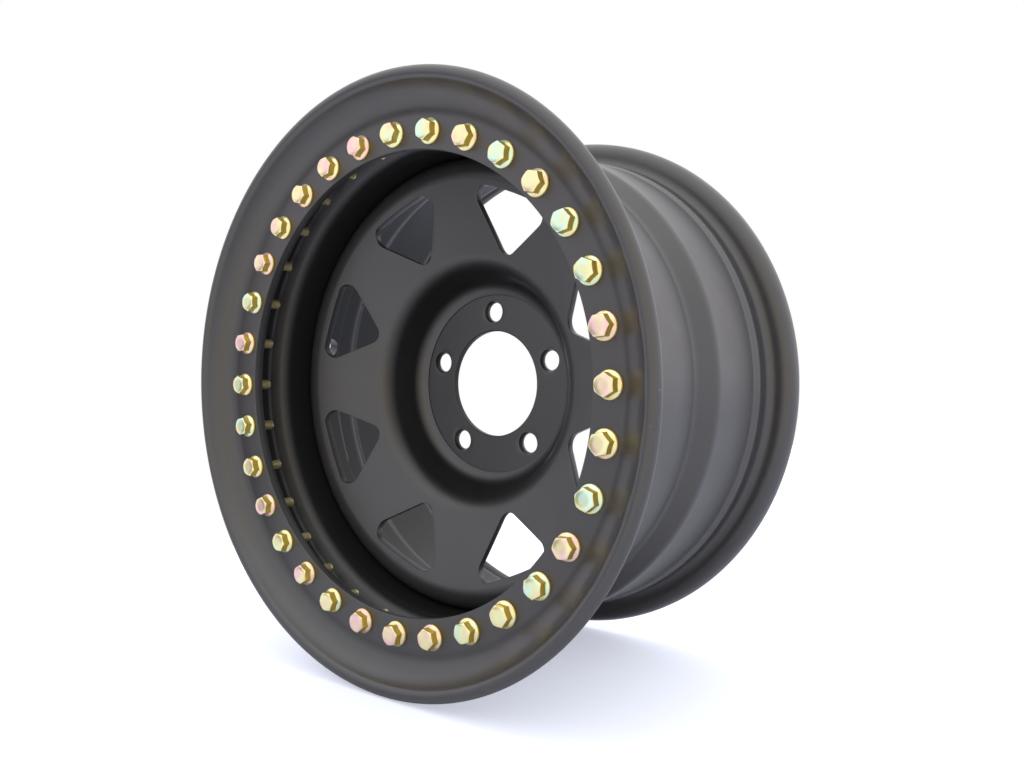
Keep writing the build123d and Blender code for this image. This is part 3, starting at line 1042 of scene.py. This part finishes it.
class WHEEL_OT_flange_bolts(bpy.types.Operator):
    """Makes the clamp bolts, each turned and tinted a little differently"""

    bl_idname = "wheel.flange_bolts"
    bl_label = "Flange bolts"

    def execute(self, context):
        scene, size, rings = context.scene, context.scene.wheel_bolts, context.scene.wheel_rings
        head, head_faces = bolt_head(size)
        thread, thread_faces = bolt_thread(size)
        bolt = np.concatenate([head, thread])
        faces = np.concatenate([head_faces, thread_faces + len(head)])
        index = np.arange(rings.bolt_count)
        place = index * TURN / rings.bolt_count
        # A bolt's first two axes lie in the ring's face, and its third points to the front
        turn = (place + index * size.turn_step)[:, None]
        x = np.cos(turn) * bolt[:, 0] - np.sin(turn) * bolt[:, 1]
        z = np.sin(turn) * bolt[:, 0] + np.cos(turn) * bolt[:, 1]
        x += (rings.bolt_circle * np.cos(place))[:, None]
        z += (rings.bolt_circle * np.sin(place))[:, None]
        y = np.broadcast_to(rings.clamp_front_y - bolt[:, 2], x.shape)
        points = np.stack([x, y, z], axis=-1).reshape(-1, 3)
        all_faces = (faces[None] + (index * len(bolt))[:, None, None]).reshape(-1, 4)
        # The power leaves more bolts mint and gold than pink
        tint = np.random.default_rng(15).random(rings.bolt_count) ** 1.25
        add_piece(
            "zinc_flange_bolts",
            [(points, all_faces)],
            yellow_zinc(scene.wheel_finish, rings),
            "clamp_bolts",
            {"tint": np.repeat(tint, len(bolt))},
        )
        return {"FINISHED"}


class WHEEL_OT_weld_beads(bpy.types.Operator):
    """Runs the stitch welds behind the disc and the bead behind the lock ring"""

    bl_idname = "wheel.weld_beads"
    bl_label = "Weld beads"

    def execute(self, context):
        scene, size = context.scene, context.scene.wheel_welds
        disc, rings = scene.wheel_disc, scene.wheel_rings
        coat = powder_coat(scene.wheel_finish, rings)
        # The beads' own centres lie a share of their radius inside the corners that they fill
        stitches = bead(
            disc.radius - 0.4 * size.stitch_radius,
            disc.flange_y + 0.1 * size.stitch_radius,
            size.stitch_radius,
            size.stitch_start + np.arange(size.stitch_count) * TURN / size.stitch_count,
            size.stitch_arc,
            size.ripple,
            size.ripple_depth,
            size.stitch_taper,
        )
        add_piece("stitch_welds", [stitches], coat)
        round_bead = bead(
            rings.lock_outer - 0.5 * size.ring_radius,
            rings.lock_rear_y,
            size.ring_radius,
            0,
            TURN,
            size.ripple,
            size.ripple_depth,
            size.ring_taper,
            around=8,
            per_ripple=4,
        )
        add_piece("lock_ring_weld", [round_bead], coat)
        return {"FINISHED"}


class WHEEL_OT_studio(bpy.types.Operator):
    """Sets up the white floor, the tent of soft light and the camera"""

    bl_idname = "wheel.studio"
    bl_label = "Studio"

    def execute(self, context):
        scene, studio = context.scene, context.scene.wheel_studio
        scene.view_settings.view_transform = "Standard"
        self.add_floor(studio)
        self.add_tent(scene, studio)
        camera = bpy.data.objects.new("camera", bpy.data.cameras.new("camera"))
        camera.data.lens = studio.lens
        camera.data.sensor_width = 36
        camera.data.sensor_fit = "HORIZONTAL"
        camera.data.clip_start = 0.01
        ahead = Vector(studio.camera_view).normalized()
        right = Vector(studio.camera_right).normalized()
        facing = Matrix((right, right.cross(ahead), -ahead)).transposed().to_4x4()
        camera.matrix_world = Matrix.Translation(studio.camera_place) @ facing
        scene.collection.objects.link(camera)
        scene.camera = camera
        return {"FINISHED"}

    def add_floor(self, studio):
        """A flat white square that keeps the wheel's shadow and ends just before the tent's door"""
        near, far, z = -studio.floor_near, studio.floor_far, studio.floor_z
        corners = np.array([(near, near, z), (far, near, z), (far, far, z), (near, far, z)])
        floor = add_object("floor", corners, np.array([(0, 1, 2, 3)]))
        material, add = new_material("white paper sweep")
        paper = add("BsdfDiffuse", {"Color": studio.floor})
        seen = add("LightPath", result="Is Camera Ray")
        lift = add("Math", {0: seen, 1: studio.floor_lift}, operation="MULTIPLY")
        glow = add("Emission", {"Color": studio.floor, "Strength": lift})
        add("OutputMaterial", {"Surface": add("AddShader", {0: paper, 1: glow})})
        floor.data.materials.append(material)

    def add_tent(self, scene, studio):
        """A tent as the world: white to the camera, and as light a ring of walls, a roof and a dark door"""
        world = bpy.data.worlds.new("tent")
        scene.world = world
        world.use_nodes = True
        world.node_tree.nodes.clear()
        add = partial(add_node, world.node_tree)
        east = add("SeparateXYZ", {0: add("TexCoord", result="Generated")}, "X")
        north, up = (east.node.outputs[axis] for axis in ("Y", "Z"))
        front = add("Math", {0: north, 1: -1}, operation="MULTIPLY")
        bearing = add("Math", {0: east, 1: front}, operation="ARCTAN2")
        along = add("MapRange", {"Value": bearing, "From Min": -np.pi, "From Max": np.pi})
        walls = add("ValToRGB", {"Fac": along})
        stops = walls.node.color_ramp.elements
        stops[0].color, stops[1].color = linear(TENT_WALLS[0][1]), linear(TENT_WALLS[-1][1])
        for degrees, shade in TENT_WALLS[1:-1]:
            stops.new((degrees + 180) / 360).color = linear(shade)
        # The door is about as high as it is wide, with soft edges from half to one and a half times its size
        inner, outer = 0.5 * studio.door_half, 1.5 * studio.door_half
        aside = add("Math", {0: bearing, 1: studio.door_bearing}, operation="SUBTRACT")
        above = add("Math", {0: up, 1: np.sin(studio.door_drop)}, operation="ADD")
        door = [
            add(
                "MapRange",
                {"Value": add("Math", {0: off}, operation="ABSOLUTE"), "From Min": far, "From Max": near},
                interpolation_type="SMOOTHSTEP",
            )
            for off, far, near in ((aside, outer, inner), (above, np.sin(outer), np.sin(inner)))
        ]
        door = add("Math", {0: door[0], 1: door[1]}, operation="MULTIPLY")
        walls = add("Mix", {0: door, 6: walls, 7: studio.door}, 2, data_type="RGBA")
        # The walls lean over into the roof, above and below the horizon alike
        height = add("Math", {0: up}, operation="ABSOLUTE")
        over = add(
            "MapRange",
            {"Value": height, "From Min": np.sin(studio.wall_top), "From Max": np.sin(studio.roof_edge)},
            interpolation_type="SMOOTHSTEP",
        )
        wall_light = add("Background", {"Color": walls, "Strength": studio.wall_light})
        roof_light = add("Background", {"Color": studio.tent, "Strength": studio.tent_light})
        lit = add("MixShader", {0: over, 1: wall_light, 2: roof_light})
        backdrop = add("Background", {"Color": studio.tent, "Strength": 1})
        seen = add("LightPath", result="Is Camera Ray")
        add("OutputWorld", {"Surface": add("MixShader", {0: seen, 1: lit, 2: backdrop})})


OPERATORS = (
    WHEEL_OT_rolled_rim,
    WHEEL_OT_pressed_disc,
    WHEEL_OT_lock_ring,
    WHEEL_OT_clamp_ring,
    WHEEL_OT_flange_bolts,
    WHEEL_OT_weld_beads,
    WHEEL_OT_studio,
)


class WHEEL_PT_panel(bpy.types.Panel):
    """Lists the wheel's pieces and the studio in the order in which they are made"""

    bl_idname = "WHEEL_PT_panel"
    bl_label = "Beadlock Wheel"
    bl_space_type = "VIEW_3D"
    bl_region_type = "UI"
    bl_category = "Wheel"

    def draw(self, context):
        for operator in OPERATORS:
            self.layout.operator(operator.bl_idname)


GROUPS = {
    "wheel_rim": RimSizes,
    "wheel_disc": DiscSizes,
    "wheel_rings": RingSizes,
    "wheel_bolts": BoltSizes,
    "wheel_welds": WeldSizes,
    "wheel_finish": FinishColours,
    "wheel_studio": StudioSettings,
}


def register():
    for name, group in GROUPS.items():
        bpy.utils.register_class(group)
        setattr(bpy.types.Scene, name, bpy.props.PointerProperty(type=group))
    for made in (*OPERATORS, WHEEL_PT_panel):
        bpy.utils.register_class(made)


def unregister():
    for made in (WHEEL_PT_panel, *reversed(OPERATORS)):
        bpy.utils.unregister_class(made)
    for name, group in GROUPS.items():
        delattr(bpy.types.Scene, name)
        bpy.utils.unregister_class(group)


def main():
    register()
    bpy.ops.wheel.rolled_rim()
    bpy.ops.wheel.pressed_disc()
    bpy.ops.wheel.lock_ring()
    bpy.ops.wheel.clamp_ring()
    bpy.ops.wheel.flange_bolts()
    bpy.ops.wheel.weld_beads()
    bpy.ops.wheel.studio()
    bpy.context.view_layer.update()


if __name__ == "__main__":
    main()
